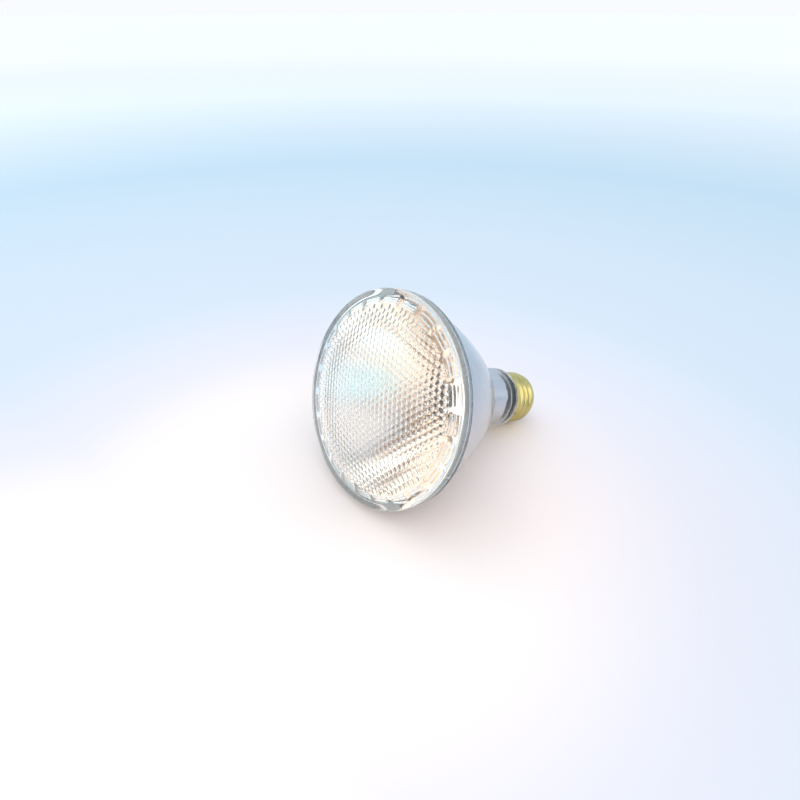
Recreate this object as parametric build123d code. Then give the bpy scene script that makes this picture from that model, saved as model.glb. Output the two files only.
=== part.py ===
from build123d import *
from math import asin, atan2, cos, degrees, hypot, radians, sin, sqrt
import os

# A halogen reflector lamp: a pressed glass reflector with a long neck, a pressed glass lens
# sealed on its mouth, a quartz capsule at the mirror's focus and a screw base on the neck.
# It lies as it comes to rest, on the rear edge of its rim and the last crest of its thread.
# Every piece is first made about the lamp's own axis: +Z points out through the lens, and
# z = 0 is the plane of the lens's front rim. lay() then turns the whole lamp into its resting
# place, with the lens towards +X. Lengths are in millimetres and angles in degrees.

# Rim and lens
rim_r = 47.6              # a lamp of the 95 mm class
lens_side = 8.8           # from the front rim plane back to the seam
lens_edge_round = 4.8     # the outer edge, which runs smoothly out of the dome
dome_rise = 5.0
inner_edge_depth = 7.2    # from the front rim plane to the edge of the inner face
inner_rise = 7.0          # the inner face is domed more, so the glass is thinnest in the middle
skirt_wall = 3.3
skirt_corner_round = 0.9  # inner corner of the skirt

# Prisms pressed into the lens's inner face
lenticule_pitch = 2.75    # between the centres of two neighbours
lenticule_height = 0.42   # from a prism's foot to its point
lenticule_foot = 0.12     # the field stands this far proud of the inner face
lenticule_sink = 0.35     # the field's flat floor lies this deep in the glass at the middle
lenticule_field_r = 40.4
lenticule_turn = 20.5     # the field's turn about the axis
flute_count = 24
flute_gap = 2.6           # between the ends of two flutes, along the ring
flute_ring_r = 41.85      # middle of the ring of flutes
flute_pitch = 0.9
flute_rows = 3
flute_width = 0.8
flute_height = 0.35
flute_turn = 5.5          # a gap lies this far round from the underside

# Seal between lens and reflector
seal_gap = 0.5
seal_inset = 0.45

# Reflector
flange_r = 47.3
flange_depth = 1.6
cone_front_r = 46.3
mirror_rim_r = 42.4
mirror_focal_length = 8.0
cone_depth = 50.0         # from the seam's rear face to the end of the cone
cone_back_r = 18.9
land_length = 1.6         # short straight land where the cone ends
land_round = 0.6
neck_r = 15.0
neck_wall = 2.0
neck_length = 21.4        # the straight part of the neck
shoulder_length = 2.0
shoulder_end_r = 13.3
bore_taper_length = 5.5   # where the bore closes in above the stub
stub_r = 11.0             # the glass that stands inside the screw shell
stub_length = 6.0
stub_bore_r = 8.6
floor_thickness = 3.4

# Screw base
shell_wall = 0.35
shell_lip_r = 13.35
shell_clearance = 0.2     # between the lip and the glass shoulder
lip_length = 1.5
thread_root_r = 12.35
thread_crest_r = 13.1
thread_pitch = 3.63       # seven threads to the inch
thread_width = 3.3        # of the ridge, where it leaves the root
thread_turns = 3.2
thread_run_back = 0.4     # of a turn, behind the last crest under the axis
thread_sink = 0.1         # the ridge's arc starts this far inside the root
thread_bite = 0.15        # and the ridge goes this much deeper into the wall
shell_length = 17.3
last_crest = 14.7         # the last crest under the axis, from the lip
curl_length = 1.5         # where the shell's rear edge closes on the insulator
curl_r = 11.2
insulator_length = 4.0    # the glass cone that shows behind the shell
insulator_end_r = 6.4
insulator_inside = 4.0    # the part that the shell holds
insulator_bore_r = 1.3
insulator_land = 0.5      # straight part of the cone beside the shell
plug_chamfer = 0.6
contact_r = 4.9
contact_thickness = 0.8
contact_chamfer = 0.6
solder_r = 2.5
solder_height = 1.3
cement_depth = 4.4
cement_top = 1.0          # below the glass shoulder, at the glass
cement_fall = 0.6         # and this much lower at the shell

# Halogen capsule and its mount
capsule_r = 6.2
capsule_wall = 1.1
capsule_front = 9.5       # straight wall in front of the focus
capsule_back = 9.0        # straight wall behind the focus
tip_r = 1.5
tip_length = 2.6
pinch_width = 12.0
pinch_thickness = 3.8
pinch_length = 9.5
pinch_shoulder = 2.8      # where the tube narrows into the pinch
capsule_back_rise = 3.7   # of the tube's rounded rear, outside
filament_length = 9.0
filament_r = 1.15         # to the middle of the wire
filament_wire_r = 0.25
filament_turns = 8.5      # half a turn over, so that its two ends lie on opposite sides
lead_r = 0.32
long_lead_offset = 3.2    # from the coil's axis to the lead that passes it
lead_turn = 1.2           # from a lead's last bend to the coil
lead_slope = 1.4          # length of a lead's slanting stretch, along the axis
long_lead_top = 1.6       # the long lead's bridge stands this far beyond the coil
foil_spacing = 5.6        # between the middles of the two foils
foil_width = 2.4
foil_length = 5.6
foil_thickness = 0.16
foil_inset = 1.6          # from the pinch's front to the foil
outer_pin_r = 0.5
outer_pin_reach = 4.0     # below the pinch
weld_gap = 0.04           # between a pin and the rod beside it
rod_r = 0.8
rod_stop = 0.5            # between a rod's end and the pinch
ferrule_r = 2.0
ferrule_wall = 0.35
ferrule_flange_r = 2.9
ferrule_flange = 0.7
wire_r = 0.3
wire_clearance = 0.1
wire_drop = 1.7           # straight down from a ferrule before the first bend
wire_rise = 1.2           # the centre wire straightens this far above the insulator
wire_end_depth = 0.4      # the side wire ends this far inside the lip
wire_end_gap = 0.75       # and this far from its wall, in the solder's place
end_overcut = 0.01        # the shell's bore is cut this far past its two ends

# Places along the axis, worked out from the lengths above
seam_z = -lens_side
glass_z = seam_z - seal_gap
inner_top_z = inner_rise - inner_edge_depth
inner_edge_r = rim_r - skirt_wall - skirt_corner_round
flange_z = glass_z - flange_depth
cone_end_z = glass_z - cone_depth
land_end_z = cone_end_z - land_length
neck_end_z = land_end_z - neck_length
shoulder_end_z = neck_end_z - shoulder_length
stub_end_z = shoulder_end_z - stub_length
floor_top_z = stub_end_z + floor_thickness
lip_z = shoulder_end_z - shell_clearance
shell_end_z = lip_z - shell_length
last_crest_z = lip_z - last_crest
insulator_end_z = shell_end_z - insulator_length
contact_end_z = insulator_end_z - contact_thickness
mirror_vertex_z = glass_z - mirror_rim_r**2 / (4 * mirror_focal_length)
focus_z = mirror_vertex_z + mirror_focal_length
pinch_top_z = focus_z - capsule_back - pinch_shoulder
pinch_end_z = pinch_top_z - pinch_length
foil_top_z = pinch_top_z - foil_inset
foil_end_z = foil_top_z - foil_length
pin_x = foil_spacing / 2
rod_x = pin_x + outer_pin_r + weld_gap + rod_r
shell_bore_r = thread_root_r - shell_wall

# Resting pose: a line touches the rim's rear edge and the round of the thread's last crest
ridge_height = thread_crest_r - thread_root_r + thread_sink
ridge_round = ((thread_width / 2) ** 2 + ridge_height**2) / (2 * ridge_height)
rest_fall = flange_r - (thread_crest_r - ridge_round)
rest_run = flange_z - last_crest_z
rest_tilt = degrees(atan2(rest_fall, rest_run) - asin(ridge_round / hypot(rest_fall, rest_run)))


def solid_of_turning(points):
    # A closed outline of radius and height pairs, turned about the axis.
    outline = Polyline([(r, 0, z) for r, z in points], close=True)
    return revolve(make_face(outline), Axis.Z)


def face_inside(*lines):
    # The flat face that a closed chain of lines and arcs goes round.
    return make_face(Wire([edge for line in lines for edge in line.edges()]))


def flat_face(corners):
    return Face(Wire.make_polygon(corners))


def turned(*lines):
    # A solid turned about the axis from an outline of lines and arcs.
    return revolve(face_inside(*lines), Axis.Z)


def rod(start, end, radius):
    # A straight round wire between two points.
    path = Line(start, end)
    return sweep(Plane(start, z_dir=path % 0) * Circle(radius), path=path)


def bent_wire(points, bend, radius):
    # A round wire along straight runs joined by arcs.
    path = FilletPolyline(*points, radius=bend)
    return sweep(Plane(path @ 0, z_dir=path % 0) * Circle(radius), path=path)


def dome_arc(foot_r, foot_z, rise):
    # From a foot to the axis along a sphere whose centre is on the axis.
    ball_r = (foot_r**2 + rise**2) / (2 * abs(rise))
    up = 1 if rise > 0 else -1
    centre_z = foot_z + rise - up * ball_r
    middle_r = foot_r / 2
    middle_z = centre_z + up * sqrt(ball_r**2 - middle_r**2)
    return ThreePointArc((foot_r, 0, foot_z), (middle_r, 0, middle_z), (0, 0, foot_z + rise))


def parabola_points(front_r, front_z, back_r, back_z, count=9):
    # Radius and height along a paraboloid: the radius squared changes evenly with height.
    points = []
    for step in range(count):
        share = step / (count - 1)
        r = front_r + (back_r - front_r) * share
        fall = (front_r**2 - r**2) / (front_r**2 - back_r**2)
        points.append((r, 0, front_z + (back_z - front_z) * fall))
    return points


def inner_face_z(radius):
    # Height of the lens's domed inner face.
    ball_r = (inner_edge_r**2 + inner_rise**2) / (2 * inner_rise)
    return inner_top_z - ball_r + sqrt(ball_r**2 - radius**2)


def lens_blank():
    # Domed front, rounded edge and a short skirt down to the seam, with a domed inner face.
    round_r = rim_r - lens_edge_round
    bore_r = rim_r - skirt_wall
    ball_r = (round_r**2 + dome_rise**2) / (2 * dome_rise)
    ball_z = dome_rise - ball_r
    round_z = ball_z + sqrt((ball_r - lens_edge_round) ** 2 - round_r**2)
    lean = atan2(round_z - ball_z, round_r)
    touch_r = ball_r * cos(lean)
    touch_z = ball_z + ball_r * sin(lean)
    edge = ThreePointArc(
        (touch_r, 0, touch_z),
        (round_r + lens_edge_round * cos(lean / 2), 0, round_z + lens_edge_round * sin(lean / 2)),
        (rim_r, 0, round_z),
    )
    corner_z = -inner_edge_depth - skirt_corner_round
    low = skirt_corner_round * sqrt(0.5)
    corner = ThreePointArc(
        (bore_r, 0, corner_z),
        (inner_edge_r + low, 0, corner_z + low),
        (inner_edge_r, 0, -inner_edge_depth),
    )
    return turned(
        dome_arc(touch_r, touch_z, dome_rise - touch_z),
        edge,
        Line((rim_r, 0, round_z), (rim_r, 0, seam_z)),
        Line((rim_r, 0, seam_z), (bore_r, 0, seam_z)),
        Line((bore_r, 0, seam_z), (bore_r, 0, corner_z)),
        corner,
        dome_arc(inner_edge_r, -inner_edge_depth, inner_rise),
        Line((0, 0, inner_top_z), (0, 0, dome_rise)),
    )


def lattice():
    # Centres of the prisms: a close-packed field inside a circle, as steps of two directions.
    reach = int(lenticule_field_r / lenticule_pitch * 1.2) + 1
    cells = {}
    for a in range(-reach, reach + 1):
        for b in range(-reach, reach + 1):
            x = lenticule_pitch * (a + b / 2)
            y = lenticule_pitch * b * sqrt(0.75)
            if x * x + y * y <= (lenticule_field_r - lenticule_pitch / 2) ** 2:
                cells[a, b] = (x, y)
    return cells


def lenticule_field():
    # Low six-sided prisms that fill the domed inner face edge to edge, sewn with walls and
    # floors into one slab whose flat floor lies inside the lens.
    corner_r = lenticule_pitch / sqrt(3)
    turns = [radians(30 + 60 * corner) for corner in range(6)]
    corners = [(corner_r * cos(turn), corner_r * sin(turn)) for turn in turns]
    floor_z = inner_top_z + lenticule_sink
    sides = [(0, 1), (-1, 1), (-1, 0), (0, -1), (1, -1), (1, 0)]
    cells = lattice()
    faces = []
    for (a, b), (x, y) in cells.items():
        ring = [(x + cx, y + cy) for cx, cy in corners]
        foot = [(px, py, inner_face_z(hypot(px, py)) - lenticule_foot) for px, py in ring]
        floor = [(px, py, floor_z) for px, py in ring]
        point = (x, y, inner_face_z(hypot(x, y)) - lenticule_foot - lenticule_height)
        faces.append(flat_face(floor))
        for k, step in enumerate(sides):
            after = (k + 1) % 6
            faces.append(flat_face([foot[k], foot[after], point]))
            if (a + step[0], b + step[1]) not in cells:
                faces.append(flat_face([foot[k], foot[after], floor[after], floor[k]]))
    return Rot(0, 0, lenticule_turn) * Solid(Shell(faces))


def flute(radius):
    # One ridge of the ring, along an arc that ends short of its neighbours.
    arc = 360 / flute_count - degrees(flute_gap / flute_ring_r)
    near = radius - flute_width / 2
    far = radius + flute_width / 2
    outline = face_inside(
        Polyline(
            (near, 0, inner_face_z(near)),
            (radius, 0, inner_face_z(radius) - flute_height),
            (far, 0, inner_face_z(far)),
            (far, 0, inner_face_z(far) + flute_height),
            (near, 0, inner_face_z(near) + flute_height),
            (near, 0, inner_face_z(near)),
        ),
    )
    return Rot(0, 0, -arc / 2) * revolve(outline, Axis.Z, arc)


def front_lens():
    rows = [flute_ring_r + flute_pitch * (row - (flute_rows - 1) / 2) for row in range(flute_rows)]
    bars = [flute(radius) for radius in rows]
    turns = [flute_turn + 360 / flute_count * (place + 0.5) for place in range(flute_count)]
    blank = lens_blank() + [Rot(0, 0, turn) * bar for turn in turns for bar in bars]
    return blank + lenticule_field()


def lens_seal():
    inner = mirror_rim_r + seal_inset
    outer = rim_r - seal_inset
    return solid_of_turning([(inner, seam_z), (outer, seam_z), (outer, glass_z), (inner, glass_z)])


def reflector_outside():
    cone = parabola_points(cone_front_r, flange_z, cone_back_r, cone_end_z)
    land_foot_r = cone_back_r - land_round
    shoulder = Spline(
        (neck_r, 0, neck_end_z),
        (shoulder_end_r, 0, shoulder_end_z),
        tangents=[(0, 0, -1), (-1, 0, 0)],
    )
    return turned(
        Line((0, 0, glass_z), (flange_r, 0, glass_z)),
        Line((flange_r, 0, glass_z), (flange_r, 0, flange_z)),
        Line((flange_r, 0, flange_z), (cone_front_r, 0, flange_z)),
        Spline(*cone),
        Line((cone_back_r, 0, cone_end_z), (cone_back_r, 0, land_end_z + land_round)),
        ThreePointArc(
            (cone_back_r, 0, land_end_z + land_round),
            (land_foot_r + land_round * sqrt(0.5), 0, land_end_z + land_round * (1 - sqrt(0.5))),
            (land_foot_r, 0, land_end_z),
        ),
        Line((land_foot_r, 0, land_end_z), (neck_r, 0, land_end_z)),
        Line((neck_r, 0, land_end_z), (neck_r, 0, neck_end_z)),
        shoulder,
        Line((shoulder_end_r, 0, shoulder_end_z), (stub_r, 0, shoulder_end_z)),
        Line((stub_r, 0, shoulder_end_z), (stub_r, 0, stub_end_z)),
        Line((stub_r, 0, stub_end_z), (0, 0, stub_end_z)),
        Line((0, 0, stub_end_z), (0, 0, glass_z)),
    )


def reflector_inside():
    # The mirror is a true paraboloid down to the neck's bore.
    bore_r = neck_r - neck_wall
    mirror_end_z = mirror_vertex_z + bore_r**2 / (4 * mirror_focal_length)
    mirror = parabola_points(mirror_rim_r, glass_z, bore_r, mirror_end_z)
    taper_z = shoulder_end_z + bore_taper_length
    taper = Spline(
        (bore_r, 0, taper_z), (stub_bore_r, 0, shoulder_end_z), tangents=[(0, 0, -1), (0, 0, -1)]
    )
    return turned(
        Line((0, 0, glass_z), (mirror_rim_r, 0, glass_z)),
        Spline(*mirror),
        Line((bore_r, 0, mirror_end_z), (bore_r, 0, taper_z)),
        taper,
        Line((stub_bore_r, 0, shoulder_end_z), (stub_bore_r, 0, floor_top_z)),
        Line((stub_bore_r, 0, floor_top_z), (0, 0, floor_top_z)),
        Line((0, 0, floor_top_z), (0, 0, glass_z)),
    )


def reflector_body():
    body = reflector_outside() - reflector_inside()
    hole = Cylinder(ferrule_r, floor_thickness, align=(Align.CENTER, Align.CENTER, Align.MIN))
    for side in (-1, 1):
        body -= Pos(side * rod_x, 0, stub_end_z) * hole
    return body


def thread_ridge(inset):
    # The rounded ridge of the thread, wound forward from the last crest under the axis.
    root = thread_root_r - inset
    crest = thread_crest_r - inset
    foot = root - thread_sink
    deep = foot - thread_bite
    half = thread_width / 2
    section = face_inside(
        ThreePointArc((foot, 0, -half), (crest, 0, 0), (foot, 0, half)),
        Line((foot, 0, half), (deep, 0, half)),
        Line((deep, 0, half), (deep, 0, -half)),
        Line((deep, 0, -half), (foot, 0, -half)),
    )
    path = Helix(thread_pitch, thread_pitch * (thread_turns + thread_run_back), root)
    ridge = sweep(section, path=path, is_frenet=True)
    start_z = last_crest_z - thread_run_back * thread_pitch
    return Pos(0, 0, start_z) * Rot(0, 0, -360 * thread_run_back) * ridge


def shell_form(inset):
    # The outside of the shell, or with an inset its inside: flared lip, root and rear curl.
    lip = shell_lip_r - inset
    root = thread_root_r - inset
    curl = curl_r - inset
    front = lip_z + (end_overcut if inset else 0)
    back = shell_end_z - (end_overcut if inset else 0)
    form = turned(
        Line((0, 0, front), (lip, 0, front)),
        ThreePointArc(
            (lip, 0, front), (root + (lip - root) * 0.3, 0, lip_z - lip_length * 0.45),
            (root, 0, lip_z - lip_length)
        ),
        Line((root, 0, lip_z - lip_length), (root, 0, shell_end_z + curl_length)),
        ThreePointArc(
            (root, 0, shell_end_z + curl_length),
            (root - (root - curl) * 0.25, 0, shell_end_z + curl_length * 0.4),
            (curl, 0, back),
        ),
        Line((curl, 0, back), (0, 0, back)),
        Line((0, 0, back), (0, 0, front)),
    )
    return form + thread_ridge(inset)


def screw_shell():
    # Rolled from thin sheet, so the thread shows inside as well.
    return shell_form(0) - shell_form(shell_wall)


def base_insulator():
    # Black glass: a plug inside the shell and the cone that shows behind it.
    plug_r = curl_r - shell_wall
    plug_top = shell_end_z + insulator_inside
    body = solid_of_turning(
        [
            (insulator_bore_r, plug_top),
            (plug_r - plug_chamfer, plug_top),
            (plug_r - wire_clearance, plug_top - plug_chamfer),
            (plug_r - wire_clearance, shell_end_z),
            (curl_r, shell_end_z),
            (curl_r, shell_end_z - insulator_land),
            (insulator_end_r, insulator_end_z),
            (insulator_bore_r, insulator_end_z),
        ]
    )
    return body


def centre_contact():
    plate = solid_of_turning(
        [
            (insulator_bore_r, insulator_end_z),
            (contact_r, insulator_end_z),
            (contact_r, insulator_end_z - contact_thickness / 2),
            (contact_r - contact_chamfer, contact_end_z),
            (insulator_bore_r, contact_end_z),
        ]
    )
    return plate


def centre_solder():
    # A dome on the contact, with a stem down its hole round the end of the wire.
    dome = turned(
        dome_arc(solder_r, contact_end_z, -solder_height),
        Line((0, 0, contact_end_z - solder_height), (0, 0, contact_end_z)),
        Line((0, 0, contact_end_z), (solder_r, 0, contact_end_z)),
    )
    stem = Pos(0, 0, contact_end_z) * Cylinder(
        insulator_bore_r, contact_thickness, align=(Align.CENTER, Align.CENTER, Align.MIN)
    )
    return dome + stem


def basing_cement():
    low = stub_end_z + stub_length - cement_depth
    ring = solid_of_turning(
        [
            (stub_r, shoulder_end_z - cement_top),
            (shell_bore_r - wire_clearance, shoulder_end_z - cement_top - cement_fall),
            (shell_bore_r - wire_clearance, low),
            (stub_r, low),
        ]
    )
    return ring


def capsule_blank():
    # Quartz tube with a round front, the stub left by sealing it off and a flat pinch.
    front_z = focus_z + capsule_front
    back_z = focus_z - capsule_back
    outside = turned(
        Line((0, 0, front_z + capsule_r), (0, 0, back_z - capsule_back_rise)),
        dome_arc(capsule_r, back_z, -capsule_back_rise),
        Line((capsule_r, 0, back_z), (capsule_r, 0, front_z)),
        dome_arc(capsule_r, front_z, capsule_r),
    )
    tip = Pos(0, 0, front_z + capsule_r - tip_r / 2) * Cone(
        tip_r, tip_r * 0.3, tip_length, align=(Align.CENTER, Align.CENTER, Align.MIN)
    )
    pinch = Pos(0, 0, pinch_end_z) * Box(
        pinch_width,
        pinch_thickness,
        pinch_length + capsule_wall,
        align=(Align.CENTER, Align.CENTER, Align.MIN),
    )
    pinch = fillet(pinch.edges().filter_by(Axis.Z), pinch_thickness * 0.3)
    return outside + tip + pinch


def capsule_hollow():
    bore_r = capsule_r - capsule_wall
    front_z = focus_z + capsule_front
    return turned(
        Line((0, 0, front_z + bore_r), (0, 0, pinch_top_z)),
        Line((0, 0, pinch_top_z), (bore_r * 0.8, 0, pinch_top_z)),
        Line((bore_r * 0.8, 0, pinch_top_z), (bore_r, 0, pinch_top_z + pinch_shoulder)),
        Line((bore_r, 0, pinch_top_z + pinch_shoulder), (bore_r, 0, front_z)),
        dome_arc(bore_r, front_z, bore_r),
    )


def moly_foil(side):
    place = Pos(side * pin_x, 0, foil_end_z)
    ends = (Align.CENTER, Align.CENTER, Align.MIN)
    return place * Box(foil_width, foil_thickness, foil_length, align=ends)


def outer_pin(side):
    end_z = pinch_end_z - outer_pin_reach
    return rod((side * pin_x, 0, foil_end_z), (side * pin_x, 0, end_z), outer_pin_r)


def filament():
    pitch = filament_length / filament_turns
    path = Helix(pitch, filament_length, filament_r)
    wire = sweep(Plane(path @ 0, z_dir=path % 0) * Circle(filament_wire_r), path=path, is_frenet=True)
    return Pos(0, 0, focus_z - filament_length / 2) * wire


def short_lead():
    # From one foil to the near end of the coil.
    end_z = focus_z - filament_length / 2 - filament_wire_r - weld_gap
    return bent_wire(
        [
            (pin_x, 0, foil_top_z),
            (pin_x, 0, end_z - lead_turn - lead_slope),
            (filament_r, 0, end_z - lead_turn),
            (filament_r, 0, end_z),
        ],
        lead_r * 2,
        lead_r,
    )


def long_lead():
    # From the other foil, past the coil, to its far end.
    coil_start_z = focus_z - filament_length / 2
    end_z = focus_z + filament_length / 2 + filament_wire_r + weld_gap
    return bent_wire(
        [
            (-pin_x, 0, foil_top_z),
            (-pin_x, 0, coil_start_z - lead_turn - lead_slope),
            (-long_lead_offset, 0, coil_start_z - lead_slope),
            (-long_lead_offset, 0, end_z + long_lead_top),
            (-filament_r, 0, end_z + long_lead_top),
            (-filament_r, 0, end_z),
        ],
        lead_r * 1.8,
        lead_r,
    )


def capsule_envelope():
    # The pinch closes tightly on the leads, the foils and the pins.
    body = capsule_blank() - capsule_hollow()
    held = [short_lead(), long_lead()]
    for side in (-1, 1):
        held += [moly_foil(side), outer_pin(side)]
    return body - held


def mount_rod(side):
    return rod((side * rod_x, 0, stub_end_z), (side * rod_x, 0, pinch_end_z - rod_stop), rod_r)


def ferrule(side):
    # A metal cup sealed in the glass floor: the rod stands in it.
    bore_r = ferrule_r - ferrule_wall
    cup = solid_of_turning(
        [
            (0, stub_end_z - ferrule_flange),
            (ferrule_flange_r, stub_end_z - ferrule_flange),
            (ferrule_flange_r, stub_end_z),
            (ferrule_r, stub_end_z),
            (ferrule_r, floor_top_z),
            (bore_r, floor_top_z),
            (bore_r, stub_end_z),
            (0, stub_end_z),
        ]
    )
    return Pos(side * rod_x, 0, 0) * cup


def line_lead():
    # From one ferrule to the solder at the centre of the base.
    start_z = stub_end_z - ferrule_flange
    turn_z = shell_end_z + insulator_inside + wire_rise
    return bent_wire(
        [
            (-rod_x, 0, start_z),
            (-rod_x, 0, start_z - wire_drop),
            (0, 0, turn_z),
            (0, 0, insulator_end_z),
        ],
        wire_r * 3,
        wire_r,
    )


def shell_lead():
    # From the other ferrule, up between glass and shell, to the inside of the shell's lip.
    start_z = stub_end_z - ferrule_flange
    way_r = (stub_r + shell_bore_r) / 2
    lip_bore_r = shell_lip_r - shell_wall
    return bent_wire(
        [
            (rod_x, 0, start_z),
            (rod_x, 0, start_z - wire_drop),
            (way_r, 0, start_z - wire_drop),
            (way_r, 0, lip_z - lip_length),
            (lip_bore_r - wire_r - wire_end_gap, 0, lip_z - wire_end_depth),
        ],
        wire_r * 2,
        wire_r,
    )


def lay(piece):
    # From the lamp's own axis to its resting pose, still about the old origin.
    return Rot(0, 90 - rest_tilt, 0) * piece


def make_pieces():
    pieces = {
        "front_lens": front_lens(),
        "lens_seal": lens_seal(),
        "reflector_body": reflector_body(),
        "capsule_envelope": capsule_envelope(),
        "filament": filament(),
        "short_lead": short_lead(),
        "long_lead": long_lead(),
        "line_lead": line_lead(),
        "shell_lead": shell_lead(),
        "basing_cement": basing_cement() - shell_lead(),
        "screw_shell": screw_shell(),
        "base_insulator": base_insulator(),
        "centre_contact": centre_contact(),
        "centre_solder": centre_solder(),
    }
    for side, letter in ((-1, "a"), (1, "b")):
        pieces["moly_foil_" + letter] = moly_foil(side)
        pieces["outer_pin_" + letter] = outer_pin(side)
        pieces["mount_rod_" + letter] = mount_rod(side)
        pieces["ferrule_" + letter] = ferrule(side)
    return pieces


def main():
    laid = {name: lay(piece) for name, piece in make_pieces().items()}
    boxes = [piece.bounding_box() for piece in laid.values()]
    middle = (min(box.min.X for box in boxes) + max(box.max.X for box in boxes)) / 2
    tilt = radians(rest_tilt)
    place = Pos(-middle, 0, flange_r * cos(tilt) - flange_z * sin(tilt))
    os.makedirs("parts", exist_ok=True)
    for name, piece in laid.items():
        export_step(place * piece, "parts/" + name + ".step")
    print("resting tilt", round(rest_tilt, 3), "moved by", place.position)


main()
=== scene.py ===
import bpy
import math
from mathutils import Matrix, Vector, noise
from mathutils.geometry import delaunay_2d_cdt


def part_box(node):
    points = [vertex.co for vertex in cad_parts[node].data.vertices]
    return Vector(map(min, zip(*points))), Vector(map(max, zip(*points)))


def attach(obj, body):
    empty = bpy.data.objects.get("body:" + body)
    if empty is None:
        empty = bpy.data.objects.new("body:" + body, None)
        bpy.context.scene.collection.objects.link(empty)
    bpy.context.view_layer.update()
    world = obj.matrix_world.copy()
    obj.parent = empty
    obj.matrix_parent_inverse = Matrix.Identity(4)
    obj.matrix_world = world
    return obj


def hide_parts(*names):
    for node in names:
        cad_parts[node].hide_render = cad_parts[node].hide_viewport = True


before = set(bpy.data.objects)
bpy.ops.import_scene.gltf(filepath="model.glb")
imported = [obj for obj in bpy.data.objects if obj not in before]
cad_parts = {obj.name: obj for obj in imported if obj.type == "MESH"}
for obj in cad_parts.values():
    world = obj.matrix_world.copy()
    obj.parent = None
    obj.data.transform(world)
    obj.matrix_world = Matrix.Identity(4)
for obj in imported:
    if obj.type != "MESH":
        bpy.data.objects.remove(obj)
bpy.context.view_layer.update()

# A halogen reflector lamp lying on a pale floor. This script gives the solids of the frame their
# materials, puts a finely pressed lens in the place of the plain one, and adds the mirror film
# that lies on the inner face of the glass reflector.
#
# The pieces are made about the lamp's own axis in millimetres: +Z points out through the lens
# and z = 0 is the plane of the lens's front rim. lamp_place then puts them in the frame.

MM = 0.001

# Lens
rim_r = 47.6
lens_side = 8.8
lens_edge_round = 4.8
dome_rise = 5.0
inner_edge_depth = 7.2     # from the front rim plane to the edge of the inner face
inner_rise = 7.0           # of the domed inner face
skirt_wall = 3.3
skirt_corner_round = 0.9

# Prisms on the lens's inner face
lenticule_pitch = 2.75
lenticule_height = 0.56
lenticule_field_r = 40.4
lenticule_turn = 20.5
row_share = math.sqrt(0.75)    # of the pitch, from one row of prisms to the next

# Arc ridges round the prisms
flute_count = 24
flute_rows = (-1, 0, 1)
flute_gap = 2.6
flute_ring_r = 41.85
flute_pitch = 0.9
flute_width = 0.8
flute_height = 0.32
flute_end_slope = 0.6      # over which an arc ridge rises from its end
flute_turn = 5.5

# Reflector, seal and base
seal_gap = 0.5
flange_r = 47.3
flange_depth = 1.6
mirror_rim_r = 42.4
mirror_focal_length = 8.0
bore_r = 13.0
thread_root_r = 12.35
thread_crest_r = 13.1
thread_width = 3.3
thread_sink = 0.1
last_crest = 99.2          # behind the front rim

# Mirror film
film_lift = 0.03           # the film stands this far off the glass
film_end = 76.0            # behind the front rim, in the neck
film_ragged = 1.3
film_waves = ((1.7, 1.0), (6.0, 0.5), (21.0, 0.25))    # fineness and share in the ragged edge

# Steps of the meshes
segments = 360             # round the axis
lenticule_steps = 7        # along one pitch of the prisms
lattice_margin = 1.2       # a slanted lattice needs 1.16 times the field's radius
merge_distance = 1e-6
flute_ring_steps = 30
skirt_corner_steps = 5
lens_edge_steps = 12
dome_steps = 24
film_cone_steps = 48
film_neck_steps = 10
sharp_angle = 60           # degrees, above which an edge isn't shaded smooth

glass_z = -lens_side - seal_gap
mirror_vertex_z = glass_z - mirror_rim_r**2 / (4 * mirror_focal_length)
inner_edge_r = rim_r - skirt_wall - skirt_corner_round

# The lamp lies on the flange's rear edge and on the last crest of the thread
ridge_height = thread_crest_r - thread_root_r + thread_sink
ridge_round = ((thread_width / 2) ** 2 + ridge_height**2) / (2 * ridge_height)
rest_fall = flange_r - (thread_crest_r - ridge_round)
rest_run = glass_z - flange_depth + last_crest
crest_turn = math.asin(ridge_round / math.hypot(rest_fall, rest_run))
rest_tilt = math.atan2(rest_fall, rest_run) - crest_turn


def lamp_place():
    """From the lamp's own axis in millimetres to the frame in metres."""
    low, high = (Vector(corner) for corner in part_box("lens_seal"))
    along = Vector((math.cos(rest_tilt), 0, math.sin(rest_tilt)))
    across = Vector((math.sin(rest_tilt), 0, -math.cos(rest_tilt)))
    seal_z = -lens_side - seal_gap / 2
    front = (low + high) / 2 - along * seal_z * MM
    turn = Matrix((across, (0, 1, 0), along)).transposed()
    return Matrix.Translation(front) @ turn.to_4x4() @ Matrix.Scale(MM, 4)


lamp = lamp_place()


# Meshes


def mesh_piece(name, points, faces, material, slot):
    mesh = bpy.data.meshes.new(name)
    mesh.from_pydata([lamp @ Vector(point) for point in points], [], faces)
    mesh.validate()
    mesh.shade_smooth()
    mesh.set_sharp_from_angle(angle=math.radians(sharp_angle))
    mesh.materials.append(material)
    piece = bpy.data.objects.new(name, mesh)
    bpy.context.scene.collection.objects.link(piece)
    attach(piece, "root")
    return piece


def ring(radius, z):
    """Points round the axis; z is a number or a function of the turn."""
    points = []
    for step in range(segments):
        turn = 2 * math.pi * step / segments
        height = z(turn) if callable(z) else z
        points.append((radius * math.cos(turn), radius * math.sin(turn), height))
    return points


def join_rings(first, second):
    """Faces between two rings, given by the indices of their points."""
    faces = []
    for step in range(segments):
        after = (step + 1) % segments
        faces.append((first[step], first[after], second[after], second[step]))
    return faces


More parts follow.
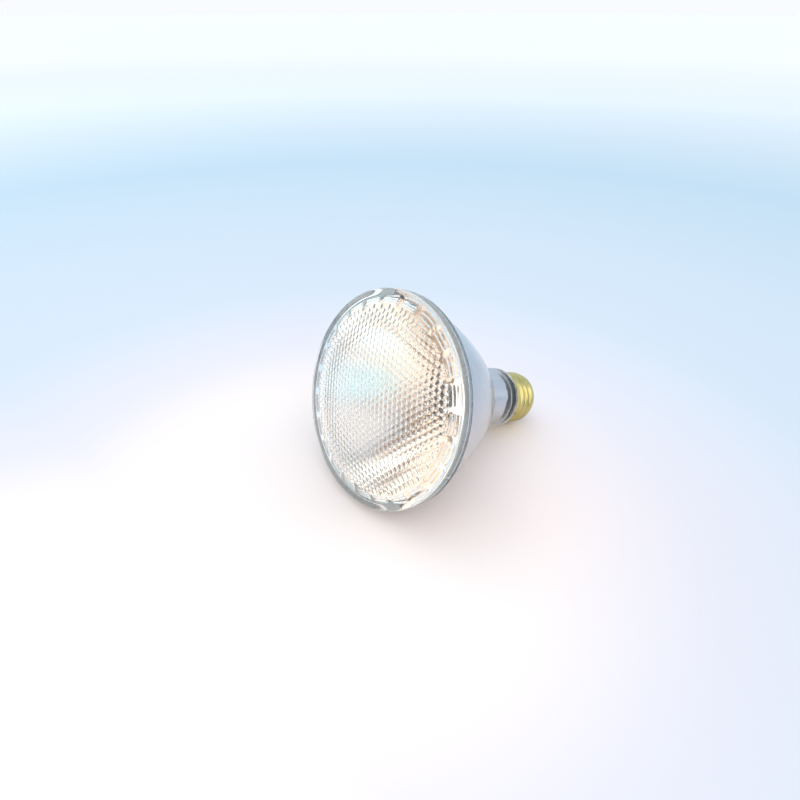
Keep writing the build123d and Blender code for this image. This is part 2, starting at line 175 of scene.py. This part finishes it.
def arc_rz(centre_r, centre_z, radius, start, end, steps):
    """Radius and height along an arc, angles in degrees from the outward direction."""
    points = []
    for step in range(steps + 1):
        turn = math.radians(start + (end - start) * step / steps)
        points.append((centre_r + radius * math.cos(turn), centre_z + radius * math.sin(turn)))
    return points


def smooth_step(value):
    value = min(1.0, max(0.0, value))
    return value * value * (3 - 2 * value)


def turned(x, y, degrees):
    turn = math.radians(degrees)
    return x * math.cos(turn) - y * math.sin(turn), x * math.sin(turn) + y * math.cos(turn)


# The lens


def lattice_place(pitch, a, b):
    """A point of a close-packed lattice, a steps along a row and b rows on."""
    return pitch * (a + b / 2), pitch * b * row_share


def nearest_prism(x, y):
    """How far the nearest prism's centre is, and its place in the lattice."""
    u, v = turned(x, y, -lenticule_turn)
    row = math.floor(v / (lenticule_pitch * row_share))
    best = None
    for b in (row, row + 1):
        a = round(u / lenticule_pitch - b / 2)
        centre_u, centre_v = lattice_place(lenticule_pitch, a, b)
        du, dv = u - centre_u, v - centre_v
        if best is None or du * du + dv * dv < best[0]:
            best = (du * du + dv * dv, a, b)
    return math.sqrt(best[0]), best[1], best[2]


def pillow(x, y):
    """Height of the rounded prisms at a place on the inner face."""
    away, a, b = nearest_prism(x, y)
    from_middle = math.hypot(*lattice_place(lenticule_pitch, a, b))
    if from_middle >= lenticule_field_r - lenticule_pitch / 2:
        return 0.0
    corner_r = lenticule_pitch / math.sqrt(3)
    return lenticule_height * (1 - (away / corner_r) ** 2)


def flute(x, y):
    """Height of the ring of short arc ridges outside the field."""
    r = math.hypot(x, y)
    step = 360 / flute_count
    turn = (math.degrees(math.atan2(y, x)) - flute_turn) % step
    from_end = math.radians(min(turn, step - turn)) * r - flute_gap / 2
    off = min(abs(r - flute_ring_r - row * flute_pitch) for row in flute_rows) / (flute_width / 2)
    if off > 1:
        return 0.0
    return flute_height * (1 - off * off) * smooth_step(from_end / flute_end_slope)


def inner_face_z(r):
    ball_r = (inner_edge_r**2 + inner_rise**2) / (2 * inner_rise)
    return inner_rise - inner_edge_depth - ball_r + math.sqrt(ball_r**2 - r * r)


def inner_face_places():
    """Places of the inner face's points: a fine lattice in the field and rings outside it."""
    places = []
    fine = lenticule_pitch / lenticule_steps
    reach = int(lenticule_field_r / fine * lattice_margin) + 1
    for a in range(-reach, reach + 1):
        for b in range(-reach, reach + 1):
            u, v = lattice_place(fine, a, b)
            if math.hypot(u, v) < lenticule_field_r - fine / 2:
                places.append(turned(u, v, lenticule_turn))
    for step in range(flute_ring_steps + 1):
        share = step / flute_ring_steps
        r = lenticule_field_r + (inner_edge_r - lenticule_field_r) * share
        places.extend((x, y) for x, y, z in ring(r, 0))
    return places


def lens_outline():
    """Radius and height from the inner face's edge round the skirt to the middle of the dome."""
    corner_z = -inner_edge_depth - skirt_corner_round
    corner = arc_rz(inner_edge_r, corner_z, skirt_corner_round, 90, 0, skirt_corner_steps)
    rear = [(rim_r - skirt_wall, -lens_side), (rim_r, -lens_side)]
    round_r = rim_r - lens_edge_round
    ball_r = (round_r**2 + dome_rise**2) / (2 * dome_rise)
    ball_z = dome_rise - ball_r
    round_z = ball_z + math.sqrt((ball_r - lens_edge_round) ** 2 - round_r**2)
    lean = math.degrees(math.atan2(round_z - ball_z, round_r))
    edge = arc_rz(round_r, round_z, lens_edge_round, 0, lean, lens_edge_steps)
    dome = arc_rz(0, ball_z, ball_r, lean, 90, dome_steps)
    return corner[1:] + rear + edge + dome[1:-1]


def lens_points_and_faces():
    places = inner_face_places()
    flat = delaunay_2d_cdt([Vector(place) for place in places], [], [], 0, merge_distance)
    spots, triangles, sources = flat[0], flat[2], flat[3]
    faces = [tuple(reversed(triangle)) for triangle in triangles]
    points = []
    for spot in spots:
        proud = max(pillow(spot.x, spot.y), flute(spot.x, spot.y))
        points.append((spot.x, spot.y, inner_face_z(spot.length) - proud))
    index_of = {source: index for index, group in enumerate(sources) for source in group}
    before = [index_of[source] for source in range(len(places) - segments, len(places))]
    for r, z in lens_outline():
        now = range(len(points), len(points) + segments)
        points.extend(ring(r, z))
        faces.extend(join_rings(before, now))
        before = now
    points.append((0, 0, dome_rise))
    for step in range(segments):
        faces.append((before[step], before[(step + 1) % segments], len(points) - 1))
    return points, faces


# The mirror film


def film_edge(turn):
    """Where the film ends in the neck, a slightly ragged line."""
    at = Vector((math.cos(turn), math.sin(turn), 0))
    wander = sum(share * noise.noise(at * fineness) for fineness, share in film_waves)
    return -film_end + film_ragged * wander


def film_points_and_faces():
    front_r = mirror_rim_r - film_lift
    back_r = bore_r - film_lift
    points = []
    for step in range(film_cone_steps + 1):
        r = front_r + (back_r - front_r) * step / film_cone_steps
        z = mirror_vertex_z + (r + film_lift) ** 2 / (4 * mirror_focal_length)
        points.extend(ring(r, z))
    neck_z = z
    for step in range(1, film_neck_steps + 1):
        share = step / film_neck_steps
        points.extend(ring(back_r, lambda turn: neck_z + (film_edge(turn) - neck_z) * share))
    rings = [range(start, start + segments) for start in range(0, len(points), segments)]
    faces = []
    for first, second in zip(rings, rings[1:]):
        faces.extend(join_rings(first, second))
    return points, faces


# Materials


def new_material(name):
    material = bpy.data.materials.new(name)
    material.use_nodes = True
    return material, material.node_tree, material.node_tree.nodes["Principled BSDF"]


def object_coordinates(tree):
    return tree.nodes.new("ShaderNodeTexCoord").outputs["Object"]


def noise_texture(tree, scale, detail):
    texture = tree.nodes.new("ShaderNodeTexNoise")
    texture.inputs["Scale"].default_value = scale
    texture.inputs["Detail"].default_value = detail
    tree.links.new(object_coordinates(tree), texture.inputs["Vector"])
    return texture.outputs["Fac"]


def colour_ramp(tree, factor, stops):
    """A colour by the factor, from stops of position and colour."""
    ramp = tree.nodes.new("ShaderNodeValToRGB")
    elements = ramp.color_ramp.elements
    while len(elements) < len(stops):
        elements.new(0.5)
    for element, (position, colour) in zip(elements, stops):
        element.position = position
        element.color = (*colour, 1)
    tree.links.new(factor, ramp.inputs["Fac"])
    return ramp.outputs["Color"]


def number_between(tree, factor, start, end, low, high):
    """A number from low to high while the factor goes from start to end."""
    spread = tree.nodes.new("ShaderNodeMapRange")
    spread.inputs["From Min"].default_value = start
    spread.inputs["From Max"].default_value = end
    spread.inputs["To Min"].default_value = low
    spread.inputs["To Max"].default_value = high
    tree.links.new(factor, spread.inputs["Value"])
    return spread.outputs["Result"]


def patterned(name, low, high, rough, broad, fine, relief, depth):
    """A material whose colour and roughness wander broadly, with a fine relief.

    broad and fine are the scale and detail of a noise, relief is the strength of the bump.
    """
    material, tree, shader = new_material(name)
    wander = noise_texture(tree, *broad)
    colour = colour_ramp(tree, wander, ((0.35, low), (0.65, high)))
    tree.links.new(colour, shader.inputs["Base Color"])
    roughness = number_between(tree, wander, 0.3, 0.7, *rough)
    tree.links.new(roughness, shader.inputs["Roughness"])
    bump = tree.nodes.new("ShaderNodeBump")
    bump.inputs["Strength"].default_value = relief
    bump.inputs["Distance"].default_value = depth
    tree.links.new(noise_texture(tree, *fine), bump.inputs["Height"])
    tree.links.new(bump.outputs["Normal"], shader.inputs["Normal"])
    return material, shader


def glass(name, low, high, rough, ior=1.47, wave=0.00002):
    material, shader = patterned(name, low, high, rough, (60, 3), (140, 2), 0.3, wave)
    shader.inputs["Transmission Weight"].default_value = 1.0
    shader.inputs["IOR"].default_value = ior
    return material


def metal(name, low, high, rough, grain, depth=0.00002):
    material, shader = patterned(name, low, high, rough, (grain / 8, 5), (grain, 3), 0.25, depth)
    shader.inputs["Metallic"].default_value = 1.0
    return material


def dull(name, low, high, rough, grain=500, depth=0.00005):
    return patterned(name, low, high, rough, (grain / 6, 5), (grain, 4), 0.5, depth)[0]


lens_glass = glass("pressed_lens_glass", (0.97, 0.975, 0.96), (0.99, 0.99, 0.975), (0.01, 0.03))
reflector_glass = glass("reflector_glass", (0.72, 0.755, 0.8), (0.78, 0.81, 0.85), (0.1, 0.2))
mirror = metal(
    "mirror_film", (0.95, 0.91, 0.875), (0.975, 0.945, 0.915), (0.02, 0.06), 200, 0.00001)
quartz = glass("fused_quartz", (0.96, 0.97, 0.98), (0.99, 0.99, 1.0), (0.0, 0.02), 1.46, 0.00001)
tungsten = metal("tungsten", (0.24, 0.25, 0.27), (0.4, 0.41, 0.43), (0.3, 0.45), 2000)
molybdenum = metal("molybdenum", (0.42, 0.43, 0.46), (0.6, 0.61, 0.63), (0.3, 0.45), 2000)
nickel = metal("nickel_plate", (0.55, 0.53, 0.49), (0.7, 0.68, 0.64), (0.22, 0.38), 1500)
copper = metal("copper_wire", (0.6, 0.33, 0.2), (0.8, 0.5, 0.34), (0.25, 0.4), 1500)
cement = dull("basing_cement", (0.4, 0.34, 0.27), (0.62, 0.55, 0.45), (0.8, 0.95))
brass = metal("rolled_brass", (0.44, 0.39, 0.14), (0.6, 0.52, 0.22), (0.14, 0.26), 1200)
contact = metal("contact_brass", (0.7, 0.52, 0.22), (0.86, 0.68, 0.34), (0.2, 0.36), 1200)
insulator = dull(
    "black_insulator_glass", (0.03, 0.021, 0.018), (0.05, 0.036, 0.031), (0.12, 0.24),
    300, 0.00002)
solder = metal("tin_solder", (0.5, 0.5, 0.52), (0.72, 0.72, 0.74), (0.3, 0.5), 900, 0.00006)
seal = dull("sealing_compound", (0.55, 0.6, 0.62), (0.66, 0.7, 0.72), (0.5, 0.7))

node_materials = {
    "reflector_body": reflector_glass,
    "lens_seal": seal,
    "capsule_envelope": quartz,
    "filament": tungsten,
    "short_lead": tungsten,
    "long_lead": tungsten,
    "moly_foil_a": molybdenum,
    "moly_foil_b": molybdenum,
    "outer_pin_a": nickel,
    "outer_pin_b": nickel,
    "mount_rod_a": nickel,
    "mount_rod_b": nickel,
    "ferrule_a": nickel,
    "ferrule_b": nickel,
    "line_lead": copper,
    "shell_lead": copper,
    "basing_cement": cement,
    "screw_shell": brass,
    "base_insulator": insulator,
    "centre_contact": contact,
    "centre_solder": solder,
}

for node, material in node_materials.items():
    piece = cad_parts[node]
    piece.data.materials.clear()
    piece.data.materials.append(material)

lens = mesh_piece("pressed_lens", *lens_points_and_faces(), lens_glass, "lens_glass")
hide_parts("front_lens")
mesh_piece("mirror_film", *film_points_and_faces(), mirror, "mirror_glass")


# The floor

floor_half = 30.0
# Middles of the painted pool of light on the floor, under the lamp and in front of its lens,
# where the floor is painted whitest
painted_light_middles = ((0.06, 0.0, 0.0), (0.2, 0.02, 0.0))
# Metres from the nearer of them, and the floor's colour at that distance: painted light, a warm
# white pool round the lamp and painted bluish shade further out
painted_light_colours = (
    (0.0, (0.97, 0.89, 0.87)),
    (0.09, (0.94, 0.86, 0.84)),
    (0.15, (0.73, 0.72, 0.785)),
    (0.25, (0.58, 0.665, 0.755)),
    (0.7, (0.46, 0.605, 0.715)),
    (1.5, (0.72, 0.78, 0.84)),
    (3.2, (0.85, 0.86, 0.88)),
)
painted_light_reach = 4.0


def floor_material():
    """Pale card, painted with a pool of warm white light round the lamp and bluish shade further
    out.
    """
    material, tree, shader = new_material("pale_floor_painted_light")
    place = object_coordinates(tree)
    nearer = tree.nodes.new("ShaderNodeMath")
    nearer.operation = "MINIMUM"
    for index, middle in enumerate(painted_light_middles):
        away = tree.nodes.new("ShaderNodeVectorMath")
        away.operation = "DISTANCE"
        away.inputs[1].default_value = middle
        tree.links.new(place, away.inputs[0])
        tree.links.new(away.outputs["Value"], nearer.inputs[index])
    # The colour by distance from the lamp is painted light and shade, not the card's own colour
    reach = number_between(tree, nearer.outputs["Value"], 0.0, painted_light_reach, 0.0, 1.0)
    stops = [(distance / painted_light_reach, colour) for distance, colour in painted_light_colours]
    tree.links.new(colour_ramp(tree, reach, stops), shader.inputs["Base Color"])
    shader.inputs["Roughness"].default_value = 0.6
    shader.inputs["Specular IOR Level"].default_value = 0.2
    return material


def make_floor():
    sides = (-floor_half, floor_half)
    mesh = bpy.data.meshes.new("floor")
    mesh.from_pydata([(x, y, 0) for y in sides for x in sides], [], [(0, 1, 3, 2)])
    mesh.materials.append(floor_material())
    floor = bpy.data.objects.new("floor", mesh)
    bpy.context.scene.collection.objects.link(floor)


# The light and the camera, places in metres and angles in degrees

room_light = (1.14, 1.03, 0.96)
# Soft patches of the room: the turn and rise of the middle, the half width, the soft edge and
# the light. A patch lies over those before it.
room_patches = (
    ((-160, 30), 55, 35, (0.82, 0.94, 1.08)),    # cool back of the room
    ((128, 27), 10, 24, (2.3, 2.14, 2.0)),       # fill from the far side
    ((20, 40), 24, 12, (1.28, 1.15, 1.04)),      # warm wall in front of the lens
    ((45, 44), 10, 10, (1.35, 1.22, 1.04)),
    ((75, 38), 16, 10, (1.8, 1.78, 1.76)),       # white panels
    ((48, 64), 10, 8, (1.6, 1.6, 1.6)),
    ((75, 8), 12, 8, (1.8, 1.8, 1.8)),
    ((-78, 8), 12, 8, (1.7, 1.85, 1.85)),
    ((-45, 42), 10, 12, (0.52, 0.96, 1.1)),      # pale blue window
    ((-45, 14), 12, 8, (0.68, 1.2, 1.42)),
    ((-16, 4), 10, 8, (0.62, 0.38, 0.26)),       # brown things low in front of the lens
    ((12, 5), 13, 8, (0.25, 0.13, 0.08)),
    ((42, 5), 13, 8, (0.3, 0.18, 0.11)),
)
backdrop = (0.95, 0.97, 1.0)    # what stands behind the floor in the picture

key_place = Vector((0.25, -0.95, 1.15))
key_size = 1.6
key_power = 3.2
key_colour = (1.0, 0.96, 0.94)

# Fitted to the photograph's outlines, with the lamp's size known
camera_turn = 52.202
camera_rise = 33.773
camera_distance = 0.26878
camera_target = Vector((0.02194, -0.00647, 0.03610))
focal_pixels = 583.99
picture_pixels = 800
sensor_width = 36


def way(turn, rise):
    """The direction at that turn and rise."""
    turn, rise = math.radians(turn), math.radians(rise)
    return Vector((
        math.cos(rise) * math.cos(turn), math.cos(rise) * math.sin(turn), math.sin(rise)))


def aimed(name, data, place, target):
    """A light or camera that stands at a place and looks at another."""
    made = bpy.data.objects.new(name, data)
    made.location = place
    made.rotation_mode = "QUATERNION"
    made.rotation_quaternion = (target - place).to_track_quat("-Z", "Y")
    bpy.context.scene.collection.objects.link(made)
    return made


def mix_colours(tree, factor):
    mix = tree.nodes.new("ShaderNodeMix")
    mix.data_type = "RGBA"
    tree.links.new(factor, mix.inputs["Factor"])
    return mix


def make_world():
    """A pale room with soft patches by direction, and a plain backdrop.

    The patches light the lamp and mirror in it. The camera itself sees the backdrop.
    """
    world = bpy.data.worlds.new("soft_room")
    world.use_nodes = True
    tree = world.node_tree
    direction = tree.nodes.new("ShaderNodeTexCoord").outputs["Generated"]
    colour = tree.nodes.new("ShaderNodeRGB").outputs["Color"]
    colour.default_value = (*room_light, 1)
    for middle, width, soft, light in room_patches:
        dot = tree.nodes.new("ShaderNodeVectorMath")
        dot.operation = "DOT_PRODUCT"
        dot.inputs[1].default_value = way(*middle)
        tree.links.new(direction, dot.inputs[0])
        share = tree.nodes.new("ShaderNodeMapRange")
        share.interpolation_type = "SMOOTHSTEP"
        share.inputs["From Min"].default_value = math.cos(math.radians(width + soft))
        share.inputs["From Max"].default_value = math.cos(math.radians(width))
        tree.links.new(dot.outputs["Value"], share.inputs["Value"])
        mix = mix_colours(tree, share.outputs["Result"])
        mix.inputs["B"].default_value = (*light, 1)
        tree.links.new(colour, mix.inputs["A"])
        colour = mix.outputs["Result"]
    seen = mix_colours(tree, tree.nodes.new("ShaderNodeLightPath").outputs["Is Camera Ray"])
    seen.inputs["B"].default_value = (*backdrop, 1)
    tree.links.new(colour, seen.inputs["A"])
    tree.links.new(seen.outputs["Result"], tree.nodes["Background"].inputs["Color"])
    tree.nodes["Background"].inputs["Strength"].default_value = 1.0
    bpy.context.scene.world = world


def make_key_light():
    data = bpy.data.lights.new("key", "AREA")
    data.shape = "SQUARE"
    data.size = key_size
    data.energy = key_power
    data.color = key_colour
    aimed("key", data, key_place, Vector((0, 0, 0)))


def make_camera():
    data = bpy.data.cameras.new("camera")
    data.sensor_width = sensor_width
    data.lens = sensor_width * focal_pixels / picture_pixels
    data.clip_start, data.clip_end = 0.01, 100
    place = camera_target + way(camera_turn, camera_rise) * camera_distance
    bpy.context.scene.camera = aimed("camera", data, place, camera_target)


make_floor()
make_world()
make_key_light()
make_camera()

view = bpy.context.scene.view_settings
view.view_transform = "Standard"
view.look = "None"
view.exposure = 0.0
cycles = bpy.context.scene.cycles
cycles.max_bounces = 20
cycles.transmission_bounces = 16
cycles.glossy_bounces = 10
cycles.transparent_max_bounces = 12
